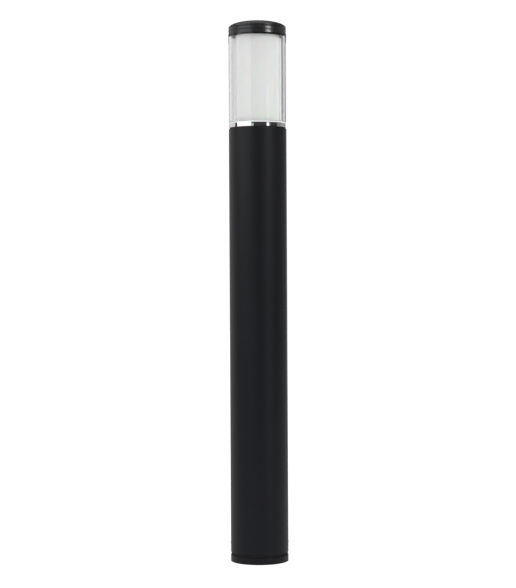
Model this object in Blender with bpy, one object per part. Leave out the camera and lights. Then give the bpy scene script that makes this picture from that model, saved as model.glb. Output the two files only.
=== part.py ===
"""Bollard light: a round post on a cast foot, with a clear tube, an opal diffuser and a screwed cap on top.

Lengths are in millimetres and turned into metres as each mesh is made. The origin is the middle of the
underside, +Z is up and -Y is the front. Every piece keeps a GAP to its neighbours.
"""

import math

import bmesh
import bpy
from mathutils import Matrix, Vector

MM = 0.001
GAP = 0.3
ROUND = 40  # sides of the large round pieces, all in phase so that their gaps stay even

# Driving dimensions
POST_R = 54.0
WALL = 3.0
FLANGE_TOP = 12.5
COLUMN_BOTTOM = 17.2
COLUMN_TOP = 808.5
TUBE_BOTTOM = 821.2
TUBE_TOP = 981.9
TUBE_WALL = 5.0
OPAL_R = 42.0
CAP_BOTTOM = 982.5
CAP_TOP = 1010.2

# The foot
BORE_R = POST_R - WALL
SPIGOT_R = BORE_R - 0.4
SPIGOT_TOP = 62.0
SPIGOT_WALL = 6.0
CABLE_HOLE_R = 17.0
ANCHOR_R, ANCHOR_CIRCLE_R, ANCHOR_ANGLES = 5.5, 32.0, (30, 150, 270)
SET_SCREW_R, SET_SCREW_Z, SET_SCREW_ANGLES = 2.5, 35.0, (184.5, 4.5)

# The terminal plate, which stands on the foot inside the column
PLATE_HALF = 16.0
PLATE_Y = 20.0
SHEET = 2.0
PLATE_TOP = 150.0
FOOT_SCREW_X, FOOT_SCREW_Y = 8.0, 30.0
BLOCK_LOW, BLOCK_HIGH = 100.0, 122.0
BLOCK_DEPTH = 16.0
WAYS = (-14.0, 0.0, 14.0)
WAY_Y = PLATE_Y - GAP - BLOCK_DEPTH / 2
EARTH_Z = 74.0
SADDLE_Z = 50.0

# The head
DECK_TOP = COLUMN_TOP + 2.0
DECK_BOTTOM = DECK_TOP - 6.0
RING_TOP = DECK_TOP + 7.5
OPAL_BOTTOM = DECK_TOP + 1.6
ROD_R, ROD_CIRCLE_R, ROD_ANGLES = 2.0, 35.5, (30, 150, 270)
PLATE_LOW = TUBE_TOP + 2.0
PLATE_HIGH = PLATE_LOW + 4.1
GLAND_Y = 28.5
CABLE_R = 3.5
STRIP_TOP = DECK_TOP + GAP + SHEET
STRIP_SCREW_X = 24.0

# The E27 holder and lamp
HOLDER_R = 19.0
HOLDER_TOP = 858.0
SHELL_R = 13.2
TIP_Z = 831.1
GLOBE_R = 30.0

# The cap
PIN_HOLE_X = 30.0


def clear_scene():
    for item in list(bpy.data.objects):
        bpy.data.objects.remove(item, do_unlink=True)


def look(name, colour, roughness, metallic=0.0, alpha=1.0):
    """A Principled material, made once for each name."""
    if name in bpy.data.materials:
        return bpy.data.materials[name]
    made = bpy.data.materials.new(name)
    made.use_nodes = True
    shader = made.node_tree.nodes["Principled BSDF"]
    shader.inputs["Base Color"].default_value = (*colour, 1.0)
    shader.inputs["Roughness"].default_value = roughness
    shader.inputs["Metallic"].default_value = metallic
    shader.inputs["Alpha"].default_value = alpha
    return made


def powder_coat():
    return look("powder_coat", (0.014, 0.015, 0.018), 0.45)


def cap_paint():
    return look("cap_paint", (0.02, 0.021, 0.024), 0.32)


def black_plastic():
    return look("black_plastic", (0.012, 0.012, 0.012), 0.5)


def white_plastic():
    return look("white_plastic", (0.72, 0.71, 0.68), 0.35)


def rubber():
    return look("rubber", (0.01, 0.01, 0.01), 0.8)


def silicone():
    return look("silicone", (0.85, 0.85, 0.85), 0.5)


def steel():
    return look("steel", (0.55, 0.55, 0.54), 0.35, 1.0)


def brass():
    return look("brass", (0.72, 0.55, 0.25), 0.3, 1.0)


def at_angle(radius, degrees, z=0.0):
    """A point on a circle round the post's axis."""
    turn = math.radians(degrees)
    return Vector((radius * math.cos(turn), radius * math.sin(turn), z))


def finish(name, bm, material):
    """Turns a bmesh, in millimetres, into a named object in the scene."""
    bmesh.ops.scale(bm, vec=(MM, MM, MM), verts=bm.verts)
    bmesh.ops.recalc_face_normals(bm, faces=bm.faces)
    mesh = bpy.data.meshes.new(name)
    bm.to_mesh(mesh)
    bm.free()
    mesh.shade_smooth()
    mesh.set_sharp_from_angle(angle=math.radians(35))
    made = bpy.data.objects.new(name, mesh)
    if material:
        mesh.materials.append(material)
    bpy.context.scene.collection.objects.link(made)
    return made


def place(item, spot, outward):
    """Moves a piece so that its own origin is at spot and its own +Z points outward."""
    turn = Vector(outward).to_track_quat("Z", "Y").to_matrix().to_4x4()
    item.matrix_world = Matrix.Translation(Vector(spot) * MM) @ turn
    return item


def turned(name, material, outline, sides=ROUND, centre=(0, 0)):
    """A solid of revolution. outline lists (radius, height) round the section, or from axis to axis."""
    bm = bmesh.new()
    corners = [bm.verts.new((radius, 0, z)) for radius, z in outline]
    ends_on_axis = outline[0][0] == 0
    after = corners[1:] if ends_on_axis else corners[1:] + corners[:1]
    edges = [bm.edges.new(pair) for pair in zip(corners, after)]
    bmesh.ops.spin(
        bm, geom=corners + edges, cent=(0, 0, 0), axis=(0, 0, 1),
        angle=2 * math.pi, steps=sides, use_merge=True,
    )
    bmesh.ops.remove_doubles(bm, verts=bm.verts, dist=0.0001)
    made = finish(name, bm, material)
    made.location = (centre[0] * MM, centre[1] * MM, 0)
    return made


def pipe(name, material, inner, outer, low, high, sides=ROUND, centre=(0, 0), chamfer=0.0):
    """A plain round tube, with its outer edges chamfered."""
    c = chamfer
    outside = [(outer, low), (outer, high)]
    if c:
        outside = [(outer - c, low), (outer, low + c), (outer, high - c), (outer - c, high)]
    return turned(name, material, outside + [(inner, high), (inner, low)], sides, centre)


def box(name, material, low, high, bevel=0.0):
    """A block between two corners, with its edges bevelled."""
    bm = bmesh.new()
    bmesh.ops.create_cube(bm, size=1)
    low, high = Vector(low), Vector(high)
    bmesh.ops.scale(bm, vec=high - low, verts=bm.verts)
    bmesh.ops.translate(bm, vec=(low + high) / 2, verts=bm.verts)
    if bevel:
        bmesh.ops.bevel(bm, geom=bm.edges, offset=bevel, segments=1, affect="EDGES")
    return finish(name, bm, material)


def prism(name, material, outline, low, high):
    """A flat outline of (x, z) points, extruded along Y from low to high."""
    bm = bmesh.new()
    face = bm.faces.new([bm.verts.new((x, low, z)) for x, z in outline])
    grown = bmesh.ops.extrude_face_region(bm, geom=[face])["geom"]
    moved = [item for item in grown if isinstance(item, bmesh.types.BMVert)]
    bmesh.ops.translate(bm, vec=(0, high - low, 0), verts=moved)
    return finish(name, bm, material)


def rod(name, material, radius, start, end, sides=16):
    """A plain cylinder between two points."""
    start, end = Vector(start), Vector(end)
    length = (end - start).length
    made = turned(name, material, [(0, 0), (radius, 0), (radius, length), (0, length)], sides)
    return place(made, start, end - start)


def join(target, other, operation="DIFFERENCE"):
    """Cuts other out of target, or with UNION adds it, and leaves other as a hidden guide."""
    step = target.modifiers.new(other.name, "BOOLEAN")
    step.operation = operation
    step.solver = "EXACT"
    step.object = other
    other.hide_render = True
    other.display_type = "WIRE"
    return target


def drill(target, radius, start, end, sides=16):
    """Cuts a round hole through target between two points."""
    return join(target, rod(f"drill_{target.name}", None, radius, start, end, sides))


def screw(name, material, seat, outward, head, shaft, drive="slot", dome=0.4):
    """A screw with its head on seat. head and shaft are (radius, length), and the shaft goes inward."""
    (head_r, head_h), (shaft_r, shaft_l) = head, shaft
    made = turned(name, material, [
        (0, -shaft_l), (shaft_r, -shaft_l), (shaft_r, 0), (head_r, 0),
        (head_r, head_h - dome), (head_r - dome, head_h), (0, head_h),
    ], sides=10)
    depth = head_h * 0.55
    if drive == "slot":
        cutter = box(f"drive_{name}", None, (-head_r - 1, -0.4, head_h - depth),
                     (head_r + 1, 0.4, head_h + 1))
    else:
        cutter = turned(f"drive_{name}", None, [
            (0, head_h - depth), (shaft_r * 0.6, head_h - depth),
            (shaft_r * 0.6, head_h + 1), (0, head_h + 1),
        ], sides=6)
    place(made, seat, outward)
    place(cutter, seat, outward)
    return join(made, cutter)


def hex_nut(name, material, circle_r, bore_r, spot, outward, height):
    """A hexagonal nut whose underside is at spot."""
    made = turned(name, material, [(0, 0), (circle_r, 0), (circle_r, height), (0, height)], sides=6)
    place(made, spot, outward)
    along = Vector(outward).normalized()
    return drill(made, bore_r, Vector(spot) - along, Vector(spot) + along * (height + 1), 12)


def smooth_route(points, count):
    """Points along a Catmull-Rom curve through the given ones."""
    points = [Vector(p) for p in points]
    ends = [2 * points[0] - points[1]] + points + [2 * points[-1] - points[-2]]
    spans = len(points) - 1
    found = []
    for i in range(count):
        at = spans * i / (count - 1)
        k = min(int(at), spans - 1)
        t = at - k
        a, b, c, d = ends[k:k + 4]
        found.append(0.5 * (2 * b + (c - a) * t + (2 * a - 5 * b + 4 * c - d) * t**2
                            + (3 * b - a - 3 * c + d) * t**3))
    return found


def wire(name, material, radius, points, count):
    """A round wire along a smooth route, with filled ends."""
    curve = bpy.data.curves.new(name, "CURVE")
    curve.dimensions = "3D"
    curve.bevel_depth = radius * MM
    curve.bevel_resolution = 2
    curve.use_fill_caps = True
    spline = curve.splines.new("POLY")
    route = smooth_route(points, count)
    spline.points.add(len(route) - 1)
    for point, spot in zip(spline.points, route):
        point.co = (*(spot * MM), 1)
    curve.materials.append(material)
    made = bpy.data.objects.new(name, curve)
    bpy.context.scene.collection.objects.link(made)
    return made


# The foot and the column


def make_base_flange():
    """The cast foot: a disc with a spigot that the column slips over, three anchor holes and three ribs."""
    spigot_bore = SPIGOT_R - SPIGOT_WALL
    flange = turned("base_flange", powder_coat(), [
        (CABLE_HOLE_R, 0), (POST_R - 0.6, 0), (POST_R, 0.6), (POST_R, FLANGE_TOP - 0.6),
        (POST_R - 0.6, FLANGE_TOP), (SPIGOT_R, FLANGE_TOP), (SPIGOT_R, SPIGOT_TOP - 1.5),
        (SPIGOT_R - 1.5, SPIGOT_TOP), (spigot_bore, SPIGOT_TOP), (spigot_bore, FLANGE_TOP),
        (CABLE_HOLE_R, FLANGE_TOP),
    ])
    for angle in ANCHOR_ANGLES:
        rib = prism("rib", None, [
            (spigot_bore + 1, 11), (spigot_bore + 1, 40), (spigot_bore - 0.8, 40), (38, 20), (38, 11),
        ], -2, 2)
        rib.rotation_euler.z = math.radians(angle + 60)
        join(flange, rib, "UNION")
        spot = at_angle(ANCHOR_CIRCLE_R, angle)
        drill(flange, ANCHOR_R, spot + Vector((0, 0, -1)), spot + Vector((0, 0, FLANGE_TOP + 1)))
    for angle in SET_SCREW_ANGLES:
        drill(flange, SET_SCREW_R + GAP, at_angle(spigot_bore - 2, angle, SET_SCREW_Z),
              at_angle(SPIGOT_R + 2, angle, SET_SCREW_Z), 12)
    for side in (-1, 1):
        spot = Vector((side * FOOT_SCREW_X, FOOT_SCREW_Y, 0))
        drill(flange, 2 + GAP, spot + Vector((0, 0, 4)), spot + Vector((0, 0, FLANGE_TOP + 1)), 12)


def make_base_grommet():
    """The top-hat grommet in the cable hole."""
    turned("base_grommet", rubber(), [
        (11, 0.6), (CABLE_HOLE_R - GAP, 0.6), (CABLE_HOLE_R - GAP, FLANGE_TOP + GAP),
        (19.6, FLANGE_TOP + GAP), (19.6, 14.4), (19, 15), (11, 15),
    ], sides=32)


def make_foot_gasket():
    pipe("foot_gasket", rubber(), SPIGOT_R + GAP, POST_R - 1, FLANGE_TOP + GAP, COLUMN_BOTTOM - GAP)


def make_column():
    """The post: a plain round tube with two tapped holes for the set screws."""
    column = pipe("column", powder_coat(), BORE_R, POST_R, COLUMN_BOTTOM, COLUMN_TOP, chamfer=0.4)
    for angle in SET_SCREW_ANGLES:
        drill(column, SET_SCREW_R + GAP, at_angle(BORE_R - 2, angle, SET_SCREW_Z),
              at_angle(POST_R + 2, angle, SET_SCREW_Z), 12)


def make_column_screws():
    """Set screws that run through the column into the spigot and stand 0.8 mm proud."""
    for number, angle in enumerate(SET_SCREW_ANGLES, 1):
        outward = at_angle(1, angle)
        made = turned(f"column_screw_{number}", steel(), [
            (0, -9), (SET_SCREW_R - 0.8, -9), (SET_SCREW_R, -8.2), (SET_SCREW_R, 0.4),
            (SET_SCREW_R - 0.5, 0.8), (0, 0.8),
        ], sides=16)
        socket = turned("socket", None, [(0, -2), (1.45, -2), (1.45, 2), (0, 2)], sides=6)
        for item in (made, socket):
            place(item, outward * POST_R + Vector((0, 0, SET_SCREW_Z)), outward)
        join(made, socket)


# The terminals inside the foot of the column


def make_terminal_bracket():
    """A bent sheet: a foot screwed to the flange and an upright plate behind the terminals."""
    floor = FLANGE_TOP + GAP
    plate = box("terminal_bracket", steel(), (-PLATE_HALF, PLATE_Y, floor),
                (PLATE_HALF, PLATE_Y + SHEET, PLATE_TOP))
    foot = box("bracket_foot", None, (-PLATE_HALF, PLATE_Y + SHEET / 2, floor),
               (PLATE_HALF, 36, floor + SHEET))
    join(plate, foot, "UNION")
    for side in (-1, 1):
        spot = Vector((side * FOOT_SCREW_X, FOOT_SCREW_Y, floor))
        drill(plate, 2 + GAP, spot - Vector((0, 0, 1)), spot + Vector((0, 0, 4)), 12)
        screw(f"bracket_screw_{(side + 3) // 2}", steel(), spot + Vector((0, 0, SHEET + GAP)),
              (0, 0, 1), head=(4, 2.6), shaft=(2, 10))
    for x, z, radius in ((-7, 111, 1.6), (7, 111, 1.6), (-9, SADDLE_Z, 1.6), (9, SADDLE_Z, 1.6),
                         (0, EARTH_Z, 2.5)):
        drill(plate, radius + GAP, (x, PLATE_Y - 1, z), (x, PLATE_Y + SHEET + 1, z), 12)


def make_terminal_block():
    """A three-way block with wire holes up through it, screw wells in front and two fixing holes."""
    front = PLATE_Y - GAP - BLOCK_DEPTH
    block = box("terminal_block", white_plastic(), (-21, front, BLOCK_LOW),
                (21, PLATE_Y - GAP, BLOCK_HIGH), bevel=0.8)
    for way, x in enumerate(WAYS):
        drill(block, 2.6, (x, WAY_Y, BLOCK_LOW - 1), (x, WAY_Y, BLOCK_HIGH + 1), 12)
        for row, z in enumerate((BLOCK_LOW + 6, BLOCK_HIGH - 6)):
            drill(block, 2.8, (x, front - 1, z), (x, WAY_Y, z), 12)
            screw(f"terminal_screw_{2 * way + row + 1}", brass(), (x, front + 2.6, z), (0, -1, 0),
                  head=(2.4, 1.6), shaft=(1.8, 1.2))
    for number, x in enumerate((-7, 7), 1):
        drill(block, 1.6 + GAP, (x, front - 1, 111), (x, PLATE_Y + 1, 111), 12)
        screw(f"block_screw_{number}", steel(), (x, front - GAP, 111), (0, -1, 0),
              head=(3, 1.8), shaft=(1.6, BLOCK_DEPTH + 5))


def make_cable_saddle():
    """A bridge that clamps the supply cable to the plate, held by two screws."""
    saddle = box("cable_saddle", black_plastic(), (-13, 11, SADDLE_Z - 5),
                 (13, PLATE_Y - GAP, SADDLE_Z + 5), bevel=1)
    drill(saddle, 5.5, (0, PLATE_Y - GAP, SADDLE_Z - 6), (0, PLATE_Y - GAP, SADDLE_Z + 6), 16)
    for number, x in enumerate((-9, 9), 1):
        drill(saddle, 1.6 + GAP, (x, 10, SADDLE_Z), (x, PLATE_Y + 1, SADDLE_Z), 12)
        screw(f"saddle_screw_{number}", steel(), (x, 11 - GAP, SADDLE_Z), (0, -1, 0),
              head=(3, 1.8), shaft=(1.6, 14))


def make_earth_point():
    """The stud through the plate, with its lug, its nut and the wire to the middle terminal."""
    stud = rod("earth_stud", brass(), 2.5, (0, 8, EARTH_Z), (0, PLATE_Y + SHEET + 1, EARTH_Z), 12)
    back = PLATE_Y + SHEET + GAP
    head = turned("stud_head", None, [(0, 0), (4.6, 0), (4.6, 3.5), (0, 3.5)], sides=6)
    place(head, (0, back, EARTH_Z), (0, 1, 0))
    join(stud, head, "UNION")
    lug_back = PLATE_Y - GAP
    lug = turned("earth_lug", brass(), [(2.8, 0), (5.2, 0), (5.2, 1.2), (2.8, 1.2)], sides=16)
    place(lug, (0, lug_back, EARTH_Z), (0, -1, 0))
    barrel = rod("lug_barrel", None, 1.9, (0, lug_back - 1.9, EARTH_Z + 4.2),
                 (0, lug_back - 1.9, EARTH_Z + 12), 12)
    join(lug, barrel, "UNION")
    drill(lug, 1.4, (0, lug_back - 1.9, EARTH_Z + 6), (0, lug_back - 1.9, EARTH_Z + 14), 12)
    hex_nut("earth_nut", brass(), 4.6, 2.5 + GAP, (0, lug_back - 4, EARTH_Z), (0, -1, 0), 4)
    earth_wire_route = [(0, lug_back - 1.9, EARTH_Z + 6.6), (0, lug_back - 1.9, EARTH_Z + 14),
                        (0, WAY_Y + 2, EARTH_Z + 21), (0, WAY_Y, EARTH_Z + 27), (0, WAY_Y, EARTH_Z + 31)]
    wire("earth_wire", look("green_insulation", (0.1, 0.45, 0.08), 0.5), 1.1, earth_wire_route, 12)


def make_lamp_cable():
    """The lead from the terminals to the lamp holder, held by the gland, and its three cores."""
    jacket_end = (0, WAY_Y, 150)
    wire("lamp_cable", black_plastic(), CABLE_R, [
        jacket_end, (0, WAY_Y, 200), (3, 8, 340), (-3, 12, 500), (2, 18, 640), (0, GLAND_Y, 760),
        (0, GLAND_Y, 800), (0, GLAND_Y, 822),
    ], 40)
    for way, name, colour in ((0, "core_live", (0.25, 0.1, 0.03)), (1, "core_earth", (0.1, 0.45, 0.08)),
                              (2, "core_neutral", (0.05, 0.15, 0.5))):
        x = WAYS[way]
        start = (x * 0.16, WAY_Y, 150 - GAP)
        wire(name, look(name, colour, 0.5), 0.9, [
            start, (x * 0.3, WAY_Y, 142), (x * 0.9, WAY_Y, 130), (x, WAY_Y, BLOCK_HIGH - 1),
        ], 10)


# The head


def make_head_collar():
    """The turned collar bonded in the top of the column. Its deck carries the lamp and the tie rods."""
    inner = SPIGOT_R - 4.6
    collar = turned("head_collar", powder_coat(), [
        (5, DECK_BOTTOM), (inner, DECK_BOTTOM), (inner, COLUMN_TOP - 38), (SPIGOT_R - 1, COLUMN_TOP - 38),
        (SPIGOT_R, COLUMN_TOP - 37), (SPIGOT_R, COLUMN_TOP + GAP), (POST_R - 1.4, COLUMN_TOP + GAP),
        (POST_R - 1.4, DECK_TOP), (5, DECK_TOP),
    ])
    for angle in ROD_ANGLES:
        drill(collar, ROD_R + GAP, at_angle(ROD_CIRCLE_R, angle, DECK_BOTTOM - 1),
              at_angle(ROD_CIRCLE_R, angle, DECK_TOP + 1), 12)
    drill(collar, 6, (0, GLAND_Y, DECK_BOTTOM - 1), (0, GLAND_Y, DECK_TOP + 1), 16)
    for side in (-1, 1):
        x = side * STRIP_SCREW_X
        drill(collar, 2, (x, 0, DECK_BOTTOM - 1), (x, 0, DECK_TOP + 1), 12)


def make_cable_gland():
    """The gland through the deck: a hexagon below, a thread up through the hole and a nut on top."""
    turned("cable_gland", black_plastic(), [
        (CABLE_R + GAP, DECK_BOTTOM - 12), (6.5, DECK_BOTTOM - 12), (7.5, DECK_BOTTOM - 11),
        (7.5, DECK_BOTTOM - 5), (8.5, DECK_BOTTOM - 5), (8.5, DECK_BOTTOM - GAP),
        (5.7, DECK_BOTTOM - GAP), (5.7, DECK_TOP + 6), (CABLE_R + GAP, DECK_TOP + 6),
    ], sides=16, centre=(0, GLAND_Y))
    hex_nut("gland_nut", black_plastic(), 8, 6, (0, GLAND_Y, DECK_TOP + GAP), (0, 0, 1), 4)


def make_rings():
    """The bright ring on the deck, the white seal under the tube and the pad under the diffuser."""
    chrome = look("chrome", (0.8, 0.8, 0.8), 0.06, 1.0)
    pipe("chrome_ring", chrome, 46, POST_R - 0.2, DECK_TOP + GAP, RING_TOP, chamfer=0.5)
    pipe("lower_seal", silicone(), 48.8, POST_R - 0.4, RING_TOP + GAP, TUBE_BOTTOM - GAP)


def make_tube_and_diffuser():
    """The clear outer tube and, inside it, the opal diffuser."""
    clear = look("clear_acrylic", (0.95, 0.96, 0.96), 0.03, alpha=0.3)
    pipe("clear_tube", clear, POST_R - TUBE_WALL, POST_R, TUBE_BOTTOM, TUBE_TOP, chamfer=0.4)
    opal = look("opal_acrylic", (0.86, 0.86, 0.84), 0.15)
    pipe("opal_diffuser", opal, OPAL_R - 3, OPAL_R, OPAL_BOTTOM, TUBE_TOP)
    pipe("diffuser_seat", silicone(), OPAL_R - 3.4, OPAL_R + 0.4, DECK_TOP + GAP, OPAL_BOTTOM - GAP)
    pipe("upper_seal", rubber(), OPAL_R - 3.4, 50.3, TUBE_TOP + GAP, PLATE_LOW - GAP)


def make_top_ring():
    """The plate that clamps the tube and diffuser, with a threaded rim that the cap screws onto."""
    ring = turned("top_ring", cap_paint(), [
        (31.5, PLATE_LOW), (BORE_R - 0.5, PLATE_LOW), (BORE_R - 0.5, PLATE_HIGH + 6),
        (BORE_R - 1.2, PLATE_HIGH + 7), (47.5, PLATE_HIGH + 7), (47.5, PLATE_HIGH), (31.5, PLATE_HIGH),
    ])
    for angle in ROD_ANGLES:
        drill(ring, ROD_R + GAP, at_angle(ROD_CIRCLE_R, angle, PLATE_LOW - 1),
              at_angle(ROD_CIRCLE_R, angle, PLATE_HIGH + 1), 12)


def make_tie_rods():
    """Three rods that clamp the top ring down, screwed into the deck and held by a nut on top."""
    for number, angle in enumerate(ROD_ANGLES, 1):
        rod(f"tie_rod_{number}", steel(), ROD_R, at_angle(ROD_CIRCLE_R, angle, DECK_BOTTOM + 1),
            at_angle(ROD_CIRCLE_R, angle, PLATE_HIGH + 4.5), 12)
        hex_nut(f"rod_nut_{number}", steel(), 4.04, ROD_R + GAP,
                at_angle(ROD_CIRCLE_R, angle, PLATE_HIGH + GAP), (0, 0, 1), 3.2)


# The lamp holder and the lamp


def make_holder():
    """The strip on the deck and the E27 holder on it, with its threaded shell and its contact."""
    strip = box("holder_bracket", steel(), (-29, -9, DECK_TOP + GAP), (29, 9, STRIP_TOP), bevel=0.3)
    drill(strip, 5, (0, 0, DECK_TOP - 1), (0, 0, STRIP_TOP + 1), 16)
    for side in (-1, 1):
        x = side * STRIP_SCREW_X
        drill(strip, 2, (x, 0, DECK_TOP - 1), (x, 0, STRIP_TOP + 1), 12)
        screw(f"holder_screw_{(side + 3) // 2}", steel(), (x, 0, STRIP_TOP + GAP), (0, 0, 1),
              head=(3.4, 2.2), shaft=(1.7, 7))
    well = TIP_Z - 3.1
    turned("lamp_holder", white_plastic(), [
        (0, STRIP_TOP + GAP), (HOLDER_R - 2, STRIP_TOP + GAP), (HOLDER_R, STRIP_TOP + 2.3),
        (HOLDER_R, HOLDER_TOP - 6), (HOLDER_R - 1.5, HOLDER_TOP), (14.2, HOLDER_TOP),
        (14.2, well), (0, well),
    ], sides=32)
    pipe("holder_shell", brass(), SHELL_R + GAP, SHELL_R + 0.7, TIP_Z, HOLDER_TOP - 4, sides=32)
    box("holder_contact", brass(), (-3, -9, well + GAP), (3, 9, TIP_Z - GAP), bevel=0.3)


def make_lamp():
    """An E27 lamp: tip, glass insulator, ridged shell, plastic body and opal globe."""
    turned("lamp_contact", steel(), [
        (0, TIP_Z), (2.5, TIP_Z + 0.2), (4.5, TIP_Z + 1.5), (0, TIP_Z + 1.5),
    ], sides=24)
    turned("lamp_insulator", look("black_glass", (0.01, 0.01, 0.012), 0.1), [
        (0, TIP_Z + 1.8), (5.5, TIP_Z + 1.8), (12.2, TIP_Z + 5), (12.2, TIP_Z + 6.6), (0, TIP_Z + 6.6),
    ], sides=24)
    low, high = TIP_Z + 6.9, HOLDER_TOP
    ridges = 5
    outline = [(SHELL_R - 1.4, low)]
    for step in range(2 * ridges + 1):
        crest = step % 2
        outline.append((SHELL_R - 0.8 * (1 - crest), low + (high - low) * step / (2 * ridges)))
    outline.append((SHELL_R - 1.4, high))
    turned("lamp_shell", steel(), outline, sides=24)
    rim = high + 42
    turned("lamp_body", look("lamp_plastic", (0.78, 0.78, 0.78), 0.35), [
        (11, high + GAP), (13.5, high + GAP), (14.5, high + 4), (21, high + 22), (28.5, rim),
        (25.5, rim), (18, high + 22), (11.5, high + 6),
    ], sides=32)
    low_angle = -14
    centre = rim + GAP - GLOBE_R * math.sin(math.radians(low_angle))
    dome = [(math.cos(math.radians(a)), math.sin(math.radians(a))) for a in range(low_angle, 90, 13)]
    outer = [(GLOBE_R * r, centre + GLOBE_R * z) for r, z in dome] + [(0, centre + GLOBE_R)]
    core = GLOBE_R - 1.5
    inner = [(core * r, centre + core * z) for r, z in dome[1:]] + [(0, centre + core)]
    floor = [(dome[0][0] * core, rim + GAP)]
    turned("lamp_globe", look("lamp_opal", (0.9, 0.9, 0.88), 0.4), outer[::-1] + floor + inner, sides=24)


def bead(low, high, radius, depth, steps=4):
    """The outside of one rounded bead: a half sine that swells by depth to radius."""
    return [(radius - depth + depth * math.sin(math.pi * k / steps) ** 0.6, low + (high - low) * k / steps)
            for k in range(steps + 1)]


def make_cap():
    """The screwed cap: a skirt of beads that grip the hand, a domed top and two blind pin holes."""
    first, second, shoulder = CAP_BOTTOM + 7.9, CAP_BOTTOM + 14.2, CAP_TOP - 9.6
    outside = bead(CAP_BOTTOM, first, POST_R + 0.3, 0.9)
    outside += bead(first, second, POST_R + 0.1, 0.8)[1:]
    outside += [(54.0, second + 0.7), (53.7, second + 2.1), (52.5, shoulder - 0.6)]
    for share in (1.0, 0.96, 0.9, 0.8, 0.66, 0.48, 0.24):
        outside.append((51.8 * share, shoulder + 9.6 * (1 - share**2.2) ** 0.7))
    outside.append((0, CAP_TOP))
    inside = [(0, CAP_TOP - 6), (38, CAP_TOP - 8), (46, CAP_TOP - 11), (BORE_R - 0.1, CAP_TOP - 15),
              (BORE_R - 0.1, CAP_BOTTOM + 2.1), (BORE_R + 1.9, CAP_BOTTOM + 2.1), (BORE_R + 1.9, CAP_BOTTOM)]
    cap = turned("cap", cap_paint(), outside + inside)
    for side in (-1, 1):
        drill(cap, 2.2, (side * PIN_HOLE_X, 0, CAP_TOP - 4.5), (side * PIN_HOLE_X, 0, CAP_TOP + 1), 12)
    pipe("cap_seal", rubber(), BORE_R + 0.2, BORE_R + 1.6, TUBE_TOP + GAP, CAP_BOTTOM + 1.8)


def group_under_empties():
    """Parents the pieces to one empty for each body that moves as a unit."""
    groups = {
        "cap_axis": ("cap", "cap_seal"),
        "lamp_axis": ("lamp_contact", "lamp_insulator", "lamp_shell", "lamp_body", "lamp_globe"),
    }
    root = bpy.data.objects.new("bollard_light", None)
    bpy.context.scene.collection.objects.link(root)
    pieces = [item for item in bpy.data.objects if item.type in ("MESH", "CURVE")]
    for name, members in groups.items():
        empty = bpy.data.objects.new(name, None)
        bpy.context.scene.collection.objects.link(empty)
        empty.parent = root
        for item in pieces:
            if item.name in members:
                item.parent = empty
    for item in pieces:
        if item.parent is None:
            item.parent = root


clear_scene()
make_base_flange()
make_base_grommet()
make_foot_gasket()
make_column()
make_column_screws()
make_terminal_bracket()
make_terminal_block()
make_cable_saddle()
make_earth_point()
make_lamp_cable()
make_head_collar()
make_cable_gland()
make_rings()
make_tube_and_diffuser()
make_top_ring()
make_tie_rods()
make_holder()
make_lamp()
make_cap()
group_under_empties()
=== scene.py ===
"""Looks of a round bollard light.

The sections follow the light as it is put together, from the foot up to the cap, and the studio comes last.
Outlines are lists of (radius, height) in millimetres, and meshes are in metres.
"""

import bmesh
import bpy
import numpy as np
from mathutils import Matrix, Vector


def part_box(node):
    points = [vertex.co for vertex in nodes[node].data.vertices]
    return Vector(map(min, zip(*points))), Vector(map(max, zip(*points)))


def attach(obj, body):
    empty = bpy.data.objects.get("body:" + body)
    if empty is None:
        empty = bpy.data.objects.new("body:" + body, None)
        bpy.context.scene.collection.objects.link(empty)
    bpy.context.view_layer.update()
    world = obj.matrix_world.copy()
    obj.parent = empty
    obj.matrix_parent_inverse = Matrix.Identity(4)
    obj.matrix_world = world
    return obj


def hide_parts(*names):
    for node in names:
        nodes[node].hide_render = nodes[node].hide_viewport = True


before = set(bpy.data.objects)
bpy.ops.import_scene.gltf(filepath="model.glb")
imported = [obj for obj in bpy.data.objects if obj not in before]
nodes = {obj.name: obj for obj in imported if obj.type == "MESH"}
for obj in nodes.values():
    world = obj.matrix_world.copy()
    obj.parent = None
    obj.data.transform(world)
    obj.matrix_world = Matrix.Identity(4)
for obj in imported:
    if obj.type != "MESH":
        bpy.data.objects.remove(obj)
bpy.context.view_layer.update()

# ---------------------------------------------------------------------------------------------------------
# The cast foot: an aluminium disc with a short spigot inside the column, ribbed where the two meet.
# It is powder coated in a dark grey with a fine, dry grain, and drilled for three ground anchors.

MM = 0.001


def span(node):
    """Outer radius, lowest and highest height of a turned CAD node about the post's axis, in millimetres."""
    low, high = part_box(node)
    return high.x / MM, low.z / MM, high.z / MM


def eased(corners, steps=5):
    """An outline with its corners rounded. Each corner is (radius, height, ease): the part within ease of
    it becomes the parabola (1-t)^2 a + 2 t (1-t) corner + t^2 b between the two cut points a and b."""
    points = np.array([c[:2] for c in corners], float)
    t = np.linspace(0, 1, steps)[:, None]
    outline = []
    for i, (_, _, ease) in enumerate(corners):
        here, before, after = points[i], points[i - 1], points[(i + 1) % len(points)]
        if ease == 0:
            outline.append(here[None])
            continue
        a = here + (before - here) * ease / np.linalg.norm(before - here)
        b = here + (after - here) * ease / np.linalg.norm(after - here)
        outline.append((1 - t) ** 2 * a + 2 * t * (1 - t) * here + t**2 * b)
    return np.concatenate(outline)


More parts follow.
